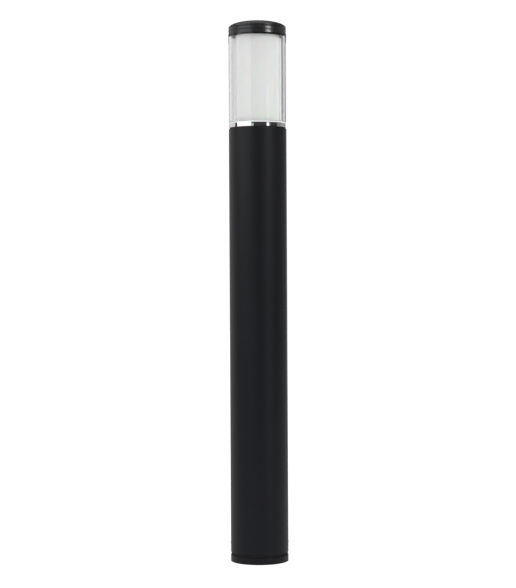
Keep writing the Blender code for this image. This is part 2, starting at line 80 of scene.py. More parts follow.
def held(outline, long=5.0, inset=0.3):
    """The outline with a point set in from both ends of each long straight stretch that isn't on the axis.
    It keeps the shading of a rounded edge from spreading over the flat wall beside it."""
    after = np.roll(outline, -1, axis=0)
    length = np.linalg.norm(after - outline, axis=1)
    straight = (length > long) & (outline[:, 0] + after[:, 0] > 0)
    step = (after - outline)[straight] * inset / length[straight, None]
    added = np.stack([outline[straight] + step, after[straight] - step], 1)
    places = np.repeat(np.flatnonzero(straight) + 1, 2)
    return np.insert(outline, places, added.reshape(-1, 2), axis=0)


def skin(name, grid, closed_rows, material):
    """A mesh over a grid of points, (rows, columns, 3) in metres. Columns always join up, rows only where
    closed_rows says so. Rows that shrink to a point are merged, and all faces end up pointing outwards."""
    rows, columns = grid.shape[:2]
    last = rows if closed_rows else rows - 1
    i, k = np.meshgrid(np.arange(last), np.arange(columns), indexing="ij")
    j, m = (i + 1) % rows, (k + 1) % columns
    quads = np.stack([i * columns + k, i * columns + m, j * columns + m, j * columns + k], axis=-1)
    mesh = bpy.data.meshes.new(name)
    mesh.from_pydata(grid.reshape(-1, 3), [], quads.reshape(-1, 4).tolist())
    bm = bmesh.new()
    bm.from_mesh(mesh)
    bmesh.ops.remove_doubles(bm, verts=bm.verts, dist=1e-7)
    bmesh.ops.recalc_face_normals(bm, faces=bm.faces)
    bm.to_mesh(mesh)
    bm.free()
    mesh.shade_smooth()
    mesh.set_sharp_from_angle(angle=np.radians(32))
    mesh.materials.append(material)
    piece = bpy.data.objects.new(name, mesh)
    bpy.context.scene.collection.objects.link(piece)
    return piece


def lathe(name, outline, material, sides=192, six=None, thread=None, pitch=1.0):
    """A turned piece: point (i, k) is outline point i at the angle 2 pi k / sides. An outline that starts
    on the axis ends there too, and any other one closes on itself. Where six is 1 the round becomes a
    hexagon of the same inner radius, r / cos(angle from the middle of the nearest flat). Where thread is
    not 0 the wall is cut to that depth by a right-hand wave, (1 - cos(2 pi height / pitch - angle)) / 2."""
    outline = np.asarray(outline, float)
    if six is None and thread is None:
        outline = held(outline)
    turn = np.linspace(0, 2 * np.pi, sides, endpoint=False)
    radius, height = outline[:, :1], np.repeat(outline[:, 1:], sides, axis=1)
    flat = np.cos((turn + np.pi / 6) % (np.pi / 3) - np.pi / 6)
    share = np.zeros(len(outline)) if six is None else np.asarray(six, float)
    depth = np.zeros(len(outline)) if thread is None else np.asarray(thread, float)
    radius = radius * (1 + share[:, None] * (1 / flat - 1))
    radius = radius - depth[:, None] * (1 - np.cos(2 * np.pi * height / pitch - turn)) / 2
    grid = np.stack([radius * np.cos(turn), radius * np.sin(turn), height], axis=-1) * MM
    return skin(name, grid, outline[0, 0] > 0, material)


def shader_of(name):
    """A new material with its Principled node, its node tree and the piece's own coordinates."""
    material = bpy.data.materials.new(name)
    material.use_nodes = True
    tree = material.node_tree
    place = tree.nodes.new("ShaderNodeTexCoord").outputs["Object"]
    return material, tree.nodes["Principled BSDF"], tree, place


def noise(tree, place, size, detail=2.0, stretch=(1, 1, 1)):
    """Noise with cells about size millimetres across, stretched by the given factors along X, Y and Z."""
    mapping = tree.nodes.new("ShaderNodeMapping")
    mapping.inputs["Scale"].default_value = tuple(1 / s for s in stretch)
    tree.links.new(place, mapping.inputs["Vector"])
    texture = tree.nodes.new("ShaderNodeTexNoise")
    texture.inputs["Scale"].default_value = 1 / (size * MM)
    texture.inputs["Detail"].default_value = detail
    tree.links.new(mapping.outputs["Vector"], texture.inputs["Vector"])
    return texture.outputs["Fac"]


def spread(tree, value, low, high, start=0.3, end=0.7):
    """Maps a noise value, from start to end, onto low to high."""
    ranged = tree.nodes.new("ShaderNodeMapRange")
    ranged.inputs["From Min"].default_value = start
    ranged.inputs["From Max"].default_value = end
    ranged.inputs["To Min"].default_value = low
    ranged.inputs["To Max"].default_value = high
    tree.links.new(value, ranged.inputs["Value"])
    return ranged.outputs["Result"]


def tints(tree, value, dark, light):
    """A colour between dark and light, by a noise value."""
    ramp = tree.nodes.new("ShaderNodeValToRGB")
    ramp.color_ramp.elements[0].position = 0.3
    ramp.color_ramp.elements[0].color = (*dark, 1)
    ramp.color_ramp.elements[1].position = 0.7
    ramp.color_ramp.elements[1].color = (*light, 1)
    tree.links.new(value, ramp.inputs["Fac"])
    return ramp.outputs["Color"]


def relief(tree, layers):
    """A normal from several height values, each with its depth in millimetres, one bump on another."""
    normal = None
    for value, depth in layers:
        bump = tree.nodes.new("ShaderNodeBump")
        bump.inputs["Strength"].default_value = 1.0
        bump.inputs["Distance"].default_value = depth * MM
        tree.links.new(value, bump.inputs["Height"])
        if normal:
            tree.links.new(normal, bump.inputs["Normal"])
        normal = bump.outputs["Normal"]
    return normal


def powder_coat(name, dark, light, roughness):
    """Baked powder: a dry grain of half a millimetre on a slow orange peel, with faint clouds of colour."""
    material, shader, tree, place = shader_of(name)
    grain = noise(tree, place, 0.5, detail=3)
    peel = noise(tree, place, 2.6)
    cloud = noise(tree, place, 45, detail=4)
    shader.inputs["Specular IOR Level"].default_value = 0.27
    tree.links.new(tints(tree, cloud, dark, light), shader.inputs["Base Color"])
    tree.links.new(spread(tree, grain, roughness - 0.06, roughness + 0.08), shader.inputs["Roughness"])
    tree.links.new(relief(tree, [(peel, 0.02), (grain, 0.012)]), shader.inputs["Normal"])
    return material


def bored(piece, radius, start, end, sides=48):
    """Cuts a round hole, in millimetres, from start to end, and leaves no modifier behind."""
    start, end = Vector(start) * MM, Vector(end) * MM
    bm = bmesh.new()
    bmesh.ops.create_cone(bm, cap_ends=True, segments=sides, radius1=radius * MM, radius2=radius * MM,
                          depth=(end - start).length)
    turn = (end - start).to_track_quat("Z", "Y").to_matrix().to_4x4()
    bm.transform(Matrix.Translation((start + end) / 2) @ turn)
    return carved(piece, bm, "DIFFERENCE")


def carved(piece, bm, operation):
    """Cuts a bmesh from the piece, or with UNION adds it, and applies the result to the piece's mesh."""
    mesh = bpy.data.meshes.new("carver")
    bmesh.ops.recalc_face_normals(bm, faces=bm.faces)
    bm.to_mesh(mesh)
    bm.free()
    other = bpy.data.objects.new("carver", mesh)
    bpy.context.scene.collection.objects.link(other)
    step = piece.modifiers.new("carve", "BOOLEAN")
    step.operation = operation
    step.object = other
    graph = bpy.context.evaluated_depsgraph_get()
    done = bpy.data.meshes.new_from_object(piece.evaluated_get(graph))
    piece.modifiers.remove(step)
    piece.data = done
    bpy.data.objects.remove(other)
    done.shade_smooth()
    done.set_sharp_from_angle(angle=np.radians(32))
    return piece


post_r, foot_low, spigot_top = span("base_flange")
foot_top = 12.5
spigot_r, spigot_bore, cable_hole_r = 50.6, 44.6, 17.0
screw_z, screw_angles, screw_hole_r = 35.0, np.radians((184.5, 4.5)), 2.8
anchor_angles, anchor_circle, anchor_hole_r = np.radians((30, 150, 270)), 32, 5.5
plate_screw_x, plate_screw_y, plate_tap_r = 8, 30, 2.3
rib_width = 4

foot_coat = powder_coat("foot_coat", (0.0022, 0.0022, 0.0046), (0.0031, 0.0031, 0.0061), 0.46)
foot = lathe("cast_foot", eased([
    (cable_hole_r, foot_low, 0.8), (post_r, foot_low, 0.7), (post_r, foot_top, 0.7),
    (spigot_r, foot_top, 0), (spigot_r, spigot_top, 2.0), (spigot_bore, spigot_top, 1.0),
    (spigot_bore, foot_top, 1.5), (cable_hole_r, foot_top, 0.8),
]), foot_coat)
for turn in anchor_angles:
    rib = bmesh.new()
    side = [rib.verts.new((r * MM, -rib_width / 2 * MM, z * MM)) for r, z in
            ((45.6, 11), (45.6, 40), (43.8, 40), (38, 20), (38, 11))]
    grown = bmesh.ops.extrude_face_region(rib, geom=[rib.faces.new(side)])["geom"]
    far_side = [part for part in grown if isinstance(part, bmesh.types.BMVert)]
    bmesh.ops.translate(rib, vec=(0, rib_width * MM, 0), verts=far_side)
    rib.transform(Matrix.Rotation(turn + np.pi / 3, 4, "Z"))
    carved(foot, rib, "UNION")
    x, y = anchor_circle * np.cos(turn), anchor_circle * np.sin(turn)
    bored(foot, anchor_hole_r, (x, y, -1), (x, y, foot_top + 1))
for turn in screw_angles:
    x, y = np.cos(turn), np.sin(turn)
    bored(foot, screw_hole_r, (42 * x, 42 * y, screw_z), (53 * x, 53 * y, screw_z))
for x in (-plate_screw_x, plate_screw_x):
    bored(foot, plate_tap_r, (x, plate_screw_y, 4), (x, plate_screw_y, foot_top + 1))
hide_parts("base_flange")
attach(foot, "pole")

# The rubber grommet in the cable hole and the gasket ring between the foot and the column. The gasket is
# set back from the post's face, and shows as the dark groove above the foot.


def rubber(name, tone, roughness=0.75):
    """Moulded rubber: a soft, slightly dusty surface with fine pores."""
    material, shader, tree, place = shader_of(name)
    dust = noise(tree, place, 12, detail=4)
    pores = noise(tree, place, 0.4)
    shader.inputs["Specular IOR Level"].default_value = 0.12
    tree.links.new(tints(tree, dust, (tone, tone, tone), (tone * 1.7, tone * 1.7, tone * 1.65)),
                   shader.inputs["Base Color"])
    tree.links.new(spread(tree, dust, roughness - 0.08, roughness + 0.08), shader.inputs["Roughness"])
    tree.links.new(relief(tree, [(pores, 0.01)]), shader.inputs["Normal"])
    return material


black_rubber = rubber("black_rubber", 0.008)
grommet_low, grommet_high = span("base_grommet")[1:]
grommet_bore, neck_r, brim_r = 11, 16.7, 19.6
grommet = lathe("grommet", eased([
    (grommet_bore, grommet_low, 1.2), (neck_r, grommet_low, 0.8), (neck_r, foot_top + 0.3, 0),
    (brim_r, foot_top + 0.3, 0.4), (brim_r, grommet_high, 0.9), (grommet_bore, grommet_high, 1.0),
]), black_rubber, sides=96)
gasket_r, gasket_low, gasket_high = span("foot_gasket")
gasket = lathe("gasket", eased([
    (spigot_r + 0.3, gasket_low, 0.3), (gasket_r, gasket_low, 0.6), (gasket_r, gasket_high, 0.6),
    (spigot_r + 0.3, gasket_high, 0.3),
]), black_rubber)
for piece, node in ((grommet, "base_grommet"), (gasket, "foot_gasket")):
    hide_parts(node)
    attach(piece, "pole")

# The column: an extruded aluminium tube, powder coated like the foot in a dark blue-grey, with the ends
# turned square and a small edge broken on each. Two tapped holes near the foot take the set screws.

column_low, column_high = span("column")[1:]
bore_r = post_r - 3
screw_low, screw_high = screw_z - 8, screw_z + 8
post_coat = powder_coat("post_coat", (0.0022, 0.0028, 0.0061), (0.0031, 0.0038, 0.0080), 0.43)
post = lathe("post", eased([
    (bore_r, column_low, 0.3), (post_r, column_low, 0.5), (post_r, screw_low, 0), (post_r, screw_high, 0),
    (post_r, column_high, 0.5), (bore_r, column_high, 0.3), (bore_r, screw_high, 0), (bore_r, screw_low, 0),
]), post_coat, sides=240)
for turn in screw_angles:
    x, y = np.cos(turn), np.sin(turn)
    bored(post, screw_hole_r, (48 * x, 48 * y, screw_z), (57 * x, 57 * y, screw_z))
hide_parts("column")
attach(post, "pole")

# Two stainless set screws clamp the column to the spigot. Their ends stand just proud of the tube, each
# with a hexagon socket and a fine machined grain.


def turned_steel(name, dark, light, roughness):
    """Bright machined steel, with tool marks about 0.15 mm across and a faint unevenness in its polish."""
    material, shader, tree, place = shader_of(name)
    shader.inputs["Metallic"].default_value = 1.0
    marks = noise(tree, place, 0.15)
    polish = noise(tree, place, 3, detail=3)
    tree.links.new(tints(tree, polish, dark, light), shader.inputs["Base Color"])
    tree.links.new(spread(tree, marks, roughness - 0.05, roughness + 0.1), shader.inputs["Roughness"])
    tree.links.new(relief(tree, [(marks, 0.003)]), shader.inputs["Normal"])
    return material


stainless = turned_steel("stainless", (0.60, 0.59, 0.57), (0.74, 0.73, 0.71), 0.22)
screw_pitch, screw_turns = 0.8, 10
crests = -0.3 - screw_pitch * np.arange(screw_turns)
crest_r, root_r = np.full(screw_turns, 2.5), np.full(screw_turns, 2.12)
flanks = np.stack([crest_r, crests, root_r, crests - screw_pitch / 2], 1)
screw_outline = np.concatenate([
    [(0, -2), (1.25, -2), (1.25, 0.55), (1.45, 0.8), (2.0, 0.8), (2.35, 0.68), (2.5, 0.4)],
    flanks.reshape(-1, 2), [(1.8, -9), (0, -9)],
])
socket_sides = np.zeros(len(screw_outline))
socket_sides[1:3] = 1
for number, turn in enumerate(screw_angles, 1):
    screw = lathe(f"set_screw_{number}", screw_outline, stainless, sides=48, six=socket_sides)
    screw.data.transform(
        Matrix.Rotation(turn, 4, "Z") @ Matrix.Translation((post_r * MM, 0, screw_z * MM))
        @ Matrix.Rotation(np.pi / 2, 4, "Y")
    )
    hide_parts(f"column_screw_{number}")
    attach(screw, "pole")

# The terminals stand on the foot inside the column: a bent zinc-plated sheet, a moulded three-way block
# with brass screws, a nylon saddle for the supply cable and a brass earth point.


def dress(names, material):
    """Gives each named CAD node its finish."""
    for name in names:
        nodes[name].data.materials.clear()
        nodes[name].data.materials.append(material)
        nodes[name].data.polygons.foreach_set("material_index", [0] * len(nodes[name].data.polygons))


def zinc_plate(name):
    """Zinc on steel sheet: pale spangle a few millimetres across, rolled smooth."""
    material, shader, tree, place = shader_of(name)
    shader.inputs["Metallic"].default_value = 1.0
    spangle = tree.nodes.new("ShaderNodeTexVoronoi")
    spangle.inputs["Scale"].default_value = 1 / (4 * MM)
    tree.links.new(place, spangle.inputs["Vector"])
    tree.links.new(tints(tree, spangle.outputs["Distance"], (0.52, 0.54, 0.57), (0.66, 0.68, 0.7)),
                   shader.inputs["Base Color"])
    tree.links.new(spread(tree, spangle.outputs["Distance"], 0.3, 0.48), shader.inputs["Roughness"])
    tree.links.new(relief(tree, [(noise(tree, place, 1.2), 0.004)]), shader.inputs["Normal"])
    return material


def moulded(name, dark, light, roughness, grain=0.8):
    """Moulded plastic: even colour with a faint flow in it and the fine texture of the mould."""
    material, shader, tree, place = shader_of(name)
    tree.links.new(tints(tree, noise(tree, place, 18, detail=3), dark, light), shader.inputs["Base Color"])
    texture = noise(tree, place, grain, detail=3)
    tree.links.new(spread(tree, texture, roughness - 0.05, roughness + 0.07), shader.inputs["Roughness"])
    tree.links.new(relief(tree, [(texture, 0.006)]), shader.inputs["Normal"])
    return material


def machined_brass(name):
    """Machined brass, a little dull and browner in patches."""
    material, shader, tree, place = shader_of(name)
    shader.inputs["Metallic"].default_value = 1.0
    patches = noise(tree, place, 5, detail=4)
    tree.links.new(tints(tree, patches, (0.55, 0.38, 0.15), (0.76, 0.58, 0.27)), shader.inputs["Base Color"])
    tree.links.new(spread(tree, patches, 0.38, 0.22), shader.inputs["Roughness"])
    tree.links.new(relief(tree, [(noise(tree, place, 0.3), 0.004)]), shader.inputs["Normal"])
    return material


zinc = zinc_plate("zinc_plate")
cream_plastic = moulded("cream_plastic", (0.66, 0.63, 0.54), (0.74, 0.72, 0.64), 0.42)
black_nylon = moulded("black_nylon", (0.010, 0.010, 0.011), (0.017, 0.017, 0.018), 0.45)
brass = machined_brass("brass")
dress(["terminal_bracket", "holder_bracket"], zinc)
dress(["terminal_block"], cream_plastic)
dress(["cable_saddle", "cable_gland", "gland_nut"], black_nylon)
dress([f"terminal_screw_{n}" for n in range(1, 7)] + ["earth_stud", "earth_nut"], brass)
fasteners = [f"{kind}_{n}" for kind in ("bracket_screw", "block_screw", "saddle_screw", "holder_screw")
             for n in (1, 2)]
dress(fasteners + [f"rod_nut_{n}" for n in (1, 2, 3)] + [f"tie_rod_{n}" for n in (1, 2, 3)],
      stainless)

# The wiring: a round black lead runs up the post from the terminals to the lamp holder. Its three cores
# fan out to the block, brown, blue and the striped green and yellow earth.


def jacket(name, dark, light, roughness):
    """Extruded insulation: smooth, with slow draw lines along it."""
    material, shader, tree, place = shader_of(name)
    drawn = noise(tree, place, 1.5, detail=3, stretch=(1, 1, 12))
    tree.links.new(tints(tree, drawn, dark, light), shader.inputs["Base Color"])
    tree.links.new(spread(tree, drawn, roughness - 0.05, roughness + 0.08), shader.inputs["Roughness"])
    tree.links.new(relief(tree, [(drawn, 0.01)]), shader.inputs["Normal"])
    return material


def earth_stripes(name):
    """Green insulation with slanting yellow bands, as on every earth core."""
    material, shader, tree, place = shader_of(name)
    stripe = tree.nodes.new("ShaderNodeTexWave")
    stripe.bands_direction = "DIAGONAL"
    stripe.inputs["Scale"].default_value = 60
    stripe.inputs["Distortion"].default_value = 0
    tree.links.new(place, stripe.inputs["Vector"])
    ramp = tree.nodes.new("ShaderNodeValToRGB")
    ramp.color_ramp.interpolation = "CONSTANT"
    ramp.color_ramp.elements[0].color = (0.05, 0.27, 0.04, 1)
    ramp.color_ramp.elements[1].position = 0.6
    ramp.color_ramp.elements[1].color = (0.72, 0.62, 0.04, 1)
    tree.links.new(stripe.outputs["Fac"], ramp.inputs["Fac"])
    tree.links.new(ramp.outputs["Color"], shader.inputs["Base Color"])
    tree.links.new(spread(tree, noise(tree, place, 2), 0.3, 0.42), shader.inputs["Roughness"])
    return material


black_jacket = jacket("black_jacket", (0.009, 0.009, 0.009), (0.016, 0.016, 0.016), 0.5)
tinned = turned_steel("tinned", (0.58, 0.57, 0.54), (0.7, 0.69, 0.66), 0.3)
dress(["lamp_cable"], black_jacket)
dress(["core_live"], jacket("brown_core", (0.10, 0.035, 0.012), (0.14, 0.05, 0.02), 0.38))
dress(["core_neutral"], jacket("blue_core", (0.012, 0.05, 0.30), (0.02, 0.075, 0.38), 0.38))
dress(["core_earth", "earth_wire"], earth_stripes("earth_core"))
dress(["earth_lug", "lamp_contact"], tinned)

# The head collar, a turned aluminium cup bonded in the top of the column. Its painted edge is the thin dark
# line under the bright ring, and its deck carries the lamp holder, the cable gland and the tie rods.

edge_r = post_r - 1.4
skirt_low, deck_top = span("head_collar")[1:]
deck_low = deck_top - 6
skirt_r, skirt_bore = 50.6, 46.0
rod_r, rod_circle = 2.0, 35.5
gland_y, gland_hole_r = 28.5, 6
strip_screw_x, strip_tap_r = 24, 2
head_coat = powder_coat("head_coat", (0.006, 0.006, 0.007), (0.009, 0.009, 0.010), 0.5)
collar = lathe("head_collar_turned", eased([
    (5, deck_low, 0.5), (skirt_bore, deck_low, 1.5), (skirt_bore, skirt_low, 0.5), (skirt_r, skirt_low, 1.2),
    (skirt_r, column_high + 0.3, 0), (edge_r, column_high + 0.3, 0.25), (edge_r, deck_top, 0.25),
    (5, deck_top, 0.5),
]), head_coat)
for turn in anchor_angles:
    x, y = rod_circle * np.cos(turn), rod_circle * np.sin(turn)
    bored(collar, rod_r + 0.3, (x, y, deck_low - 1), (x, y, deck_top + 1), sides=24)
bored(collar, gland_hole_r, (0, gland_y, deck_low - 1), (0, gland_y, deck_top + 1))
for x in (-strip_screw_x, strip_screw_x):
    bored(collar, strip_tap_r, (x, 0, deck_low - 1), (x, 0, deck_top + 1), sides=24)
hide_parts("head_collar")
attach(collar, "pole")

# The bright ring between the post and the tube: turned brass, polished and chrome plated. Its face is
# crowned by a few hundredths, so it mirrors a narrow band of the room.


def polished_chrome(name):
    """Chrome plate: a clean mirror with the faint rings that the polishing mop leaves."""
    material, shader, tree, place = shader_of(name)
    shader.inputs["Metallic"].default_value = 1.0
    rings = noise(tree, place, 0.6, stretch=(40, 40, 1))
    haze = noise(tree, place, 14, detail=3)
    tree.links.new(tints(tree, haze, (0.80, 0.80, 0.81), (0.86, 0.86, 0.86)), shader.inputs["Base Color"])
    tree.links.new(spread(tree, haze, 0.03, 0.07), shader.inputs["Roughness"])
    tree.links.new(relief(tree, [(rings, 0.0008)]), shader.inputs["Normal"])
    return material


ring_r, ring_low, ring_high = span("chrome_ring")
ring_bore, ring_edge, ring_crowning = 46, 0.7, 0.06
along = np.linspace(-1, 1, 15)
ring_face = np.stack([
    ring_r - ring_crowning * along**2, (ring_low + ring_high) / 2 + (ring_high - ring_low) / 2 * along,
], 1)
ring = lathe("bright_ring", np.concatenate([
    [(ring_bore, ring_low), (ring_r - ring_edge, ring_low)], ring_face,
    [(ring_r - ring_edge, ring_high), (ring_bore, ring_high)],
]), polished_chrome("polished_chrome"), sides=288)
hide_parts("chrome_ring")
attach(ring, "pole")

# The soft seals: white silicone under the clear tube, where it shows as a thin light line, and under the
# diffuser, and black rubber above them both. Each is a moulded flat ring with well rounded edges.


def white_silicone(name):
    """Milky silicone: a little light passes through it, and its face has a soft, uneven sheen."""
    material, shader, tree, place = shader_of(name)
    shader.inputs["Subsurface Weight"].default_value = 0.4
    shader.inputs["Subsurface Scale"].default_value = 2 * MM
    milk = noise(tree, place, 9, detail=3)
    tree.links.new(tints(tree, milk, (0.86, 0.86, 0.85), (0.93, 0.93, 0.92)), shader.inputs["Base Color"])
    tree.links.new(spread(tree, milk, 0.42, 0.58), shader.inputs["Roughness"])
    tree.links.new(relief(tree, [(noise(tree, place, 0.7), 0.01)]), shader.inputs["Normal"])
    return material


silicone = white_silicone("white_silicone")
for name, node, bore, material, slot in (
    ("tube_seal", "lower_seal", 48.8, silicone, "white_silicone"),
    ("diffuser_pad", "diffuser_seat", 38.6, silicone, "white_silicone"),
    ("clamp_seal", "upper_seal", 38.6, black_rubber, "rubber_black"),
):
    outer, low, high = span(node)
    soft = (high - low) * 0.4
    corners = [(bore, low, soft), (outer, low, soft), (outer, high, soft), (bore, high, soft)]
    seal = lathe(name, eased(corners), material)
    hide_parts(node)
    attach(seal, "pole")

# The lamp: an E27 holder of glazed porcelain on a zinc-plated strip, with a brass shell, drawn without its
# thread, and a tongue contact. In it is a lamp with a rolled thread, a white body and a frosted dome.


def glaze(name, dark, light, roughness):
    """Fired glaze over porcelain, pooled a little unevenly."""
    material, shader, tree, place = shader_of(name)
    shader.inputs["Coat Weight"].default_value = 0.5
    shader.inputs["Coat Roughness"].default_value = 0.08
    pool = noise(tree, place, 7, detail=3)
    tree.links.new(tints(tree, pool, dark, light), shader.inputs["Base Color"])
    tree.links.new(spread(tree, pool, roughness, roughness + 0.1), shader.inputs["Roughness"])
    tree.links.new(relief(tree, [(pool, 0.05)]), shader.inputs["Normal"])
    return material


def frosted(name):
    """Frosted polycarbonate of the lamp's dome: milky, even and very finely rough."""
    material, shader, tree, place = shader_of(name)
    shader.inputs["Subsurface Weight"].default_value = 0.5
    shader.inputs["Subsurface Scale"].default_value = 3 * MM
    cloud = noise(tree, place, 16, detail=3)
    tree.links.new(tints(tree, cloud, (0.84, 0.84, 0.82), (0.91, 0.91, 0.89)), shader.inputs["Base Color"])
    tree.links.new(spread(tree, cloud, 0.42, 0.52), shader.inputs["Roughness"])
    tree.links.new(relief(tree, [(noise(tree, place, 0.3), 0.006)]), shader.inputs["Normal"])
    return material


lamp_pitch = 3.629
porcelain = glaze("porcelain", (0.72, 0.71, 0.67), (0.80, 0.79, 0.76), 0.16)
lamp_white = moulded("lamp_white", (0.76, 0.76, 0.75), (0.82, 0.82, 0.81), 0.3)
black_glass = glaze("black_glass", (0.006, 0.006, 0.008), (0.012, 0.012, 0.015), 0.08)

holder_r, holder_low, holder_high = span("lamp_holder")
well_r, well_floor = 14.2, 828.0
holder = lathe("porcelain_holder", eased([
    (0, holder_low, 0), (holder_r - 2, holder_low, 0.6), (holder_r, holder_low + 2, 1.0),
    (holder_r, holder_high - 16, 0.8), (holder_r - 1, holder_high - 15, 0.8),
    (holder_r - 1, holder_high - 8, 0.8), (holder_r, holder_high - 7, 0.8),
    (holder_r - 1.5, holder_high, 1.2), (well_r, holder_high, 0.8), (well_r, well_floor, 0.8),
    (0, well_floor, 0),
]), porcelain, sides=128)
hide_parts("lamp_holder")
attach(holder, "pole")

shell_r, shell_bore = 13.9, 13.5
shell_low, shell_high = span("holder_shell")[1:]
rows = np.linspace(shell_low, shell_high, 70)
outer_wall, inner_wall = (np.stack([np.full(70, radius), rows], 1) for radius in (shell_r, shell_bore))
socket = lathe("socket_shell", np.concatenate([outer_wall, inner_wall[::-1]]), brass, sides=96)
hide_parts("holder_shell")
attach(socket, "pole")
dress(["holder_contact"], brass)

cup_bore, cup_end_r, cup_swell, cup_thread = 11.8, 12.6, 0.6, 0.8
cup_low, cup_high = span("lamp_shell")[1:]
rows = np.linspace(cup_low, cup_high, 80)
run_in = np.clip(np.minimum(rows - cup_low, cup_high - rows) / 1.5, 0, 1)
wall = np.stack([cup_end_r + cup_swell * run_in, rows], 1)
nickel_plate = turned_steel("nickel_plate", (0.62, 0.61, 0.57), (0.74, 0.73, 0.7), 0.24)
cup_wall = np.concatenate([[(cup_bore, cup_low)], wall, [(cup_bore, cup_high)]])
cup_cut = np.concatenate([[0], cup_thread * run_in, [0]])
cup = lathe("lamp_thread", cup_wall, nickel_plate, sides=96, thread=cup_cut, pitch=lamp_pitch)
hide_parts("lamp_shell")

tip_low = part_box("lamp_contact")[0].z / MM
bead = lathe("lamp_glass_bead", eased([
    (0, tip_low + 1.8, 0), (5.5, tip_low + 1.8, 0.5), (12.2, tip_low + 5, 1.0), (12.2, tip_low + 6.6, 0.4),
    (0, tip_low + 6.6, 0),
]), black_glass, sides=96)
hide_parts("lamp_insulator")

body_low, body_high = span("lamp_body")[1:]
body = lathe("lamp_housing", eased([
    (11, body_low, 0.2), (13.5, body_low, 0.3), (14.5, body_low + 3.7, 1.5), (21, body_low + 21.7, 9),
    (28.5, body_high, 0.6), (25.5, body_high, 0.3), (18, body_low + 21.7, 6), (11.5, body_low + 5.7, 2),
]), lamp_white, sides=160)
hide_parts("lamp_body")

dome_r, dome_bore = 30.0, 28.5
dome_low, dome_high = span("lamp_globe")[1:]
centre = dome_high - dome_r
start = np.arcsin((dome_low - centre) / dome_r)
angle = np.linspace(np.pi / 2, start, 40)
outside = np.stack([dome_r * np.cos(angle), centre + dome_r * np.sin(angle)], 1)
inside = np.stack([dome_bore * np.cos(angle), centre + dome_bore * np.sin(angle)], 1)[::-1]
inside[0] = (28.0, dome_low)
outside[0, 0] = inside[-1, 0] = 0
dome = lathe("frosted_dome", np.concatenate([outside, inside]), frosted("frosted_dome"), sides=128)
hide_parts("lamp_globe")
for piece in (cup, bead, body, dome):
    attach(piece, "lamp")

# The opal diffuser, an extruded acrylic tube with a glossy skin that stands round the lamp. It is milky
# all through, so the unlit lamp doesn't show.


def opal_acrylic(name):
    """Opal acrylic: light goes a few millimetres into it and comes back white, under a glossy skin."""
    material, shader, tree, place = shader_of(name)
    shader.inputs["Subsurface Weight"].default_value = 0.35
    shader.inputs["Subsurface Scale"].default_value = 4 * MM
    shader.inputs["IOR"].default_value = 1.49
    milk = noise(tree, place, 30, detail=3)
    tree.links.new(tints(tree, milk, (0.945, 0.94, 0.915), (0.965, 0.96, 0.935)), shader.inputs["Base Color"])
    tree.links.new(spread(tree, milk, 0.05, 0.09), shader.inputs["Roughness"])
    tree.links.new(relief(tree, [(noise(tree, place, 6), 0.006)]), shader.inputs["Normal"])
    return material


opal_r, opal_low, opal_high = span("opal_diffuser")
opal_bore = opal_r - 3
opal = lathe("opal_tube", eased([
    (opal_bore, opal_low, 0.3), (opal_r, opal_low, 0.3), (opal_r, opal_high, 0.3),
    (opal_bore, opal_high, 0.3),
]), opal_acrylic("opal_acrylic"), sides=256)
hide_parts("opal_diffuser")
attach(opal, "pole")

# The clear tube: cast acrylic with a 5 mm wall and polished ends. It is the lantern's outer wall, clamped
# between the lower seal and the top ring by the tie rods. Its top end and the top 1.4 mm of its bore are
# given the black rubber finish, as painted shade under the cap.


def clear_acrylic(name):
    """Clear acrylic: polished, with the slow waves of a cast wall. It is nearly colourless from straight
    ahead, and its colour is greyed the more the wall is seen on the slant, as painted shade for the light
    lost at its faces and the dark studio it mirrors there."""
    material, shader, tree, place = shader_of(name)
    shader.inputs["Transmission Weight"].default_value = 1.0
    shader.inputs["IOR"].default_value = 1.49
    # The grey on the slant is painted shade, not absorption in the acrylic.
    painted_slant_shade = tree.nodes.new("ShaderNodeLayerWeight")
    painted_slant_shade.inputs["Blend"].default_value = 0.5
    ramp = tree.nodes.new("ShaderNodeValToRGB")
    for at, tone in ((0.33, 0.98), (0.43, 0.87), (0.6, 0.58), (0.9, 0.42)):
        step = ramp.color_ramp.elements.new(at)
        step.color = (tone, tone * 1.003, tone * 1.002, 1)
    ramp.color_ramp.elements.remove(ramp.color_ramp.elements[0])
    ramp.color_ramp.elements.remove(ramp.color_ramp.elements[-1])
    tree.links.new(painted_slant_shade.outputs["Facing"], ramp.inputs["Fac"])
    tree.links.new(ramp.outputs["Color"], shader.inputs["Base Color"])
    waves = noise(tree, place, 30, stretch=(1, 1, 4))
    tree.links.new(spread(tree, waves, 0.0, 0.012), shader.inputs["Roughness"])
    tree.links.new(relief(tree, [(waves, 0.01)]), shader.inputs["Normal"])
    return material


tube_low, tube_high = span("clear_tube")[1:]
tube_bore, painted_shade_depth = post_r - 5, 1.4
tube = lathe("clear_outer_tube", eased([
    (tube_bore, tube_low, 0.35), (post_r, tube_low, 0.5), (post_r, tube_high, 0.5),
    (tube_bore, tube_high, 0.35), (tube_bore, tube_high - painted_shade_depth, 0),
]), clear_acrylic("clear_acrylic"), sides=288)
# The black on the tube's top end and the top of its bore is painted shade under the cap.
tube.data.materials.append(black_rubber)
centres = np.empty(len(tube.data.polygons) * 3)
tube.data.polygons.foreach_get("center", centres)
centres = centres.reshape(-1, 3) / MM
on_end = centres[:, 2] > tube_high - 0.2
on_rim = (centres[:, 2] > tube_high - painted_shade_depth) & (np.hypot(centres[:, 0], centres[:, 1]) < tube_bore + 0.5)
tube.data.polygons.foreach_set("material_index", (on_end | on_rim).astype(np.int32))
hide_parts("clear_tube")
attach(tube, "pole")

# The top ring, turned from aluminium and painted black. It presses on the tube and the diffuser, and its
# rim has a coarse thread for the cap.

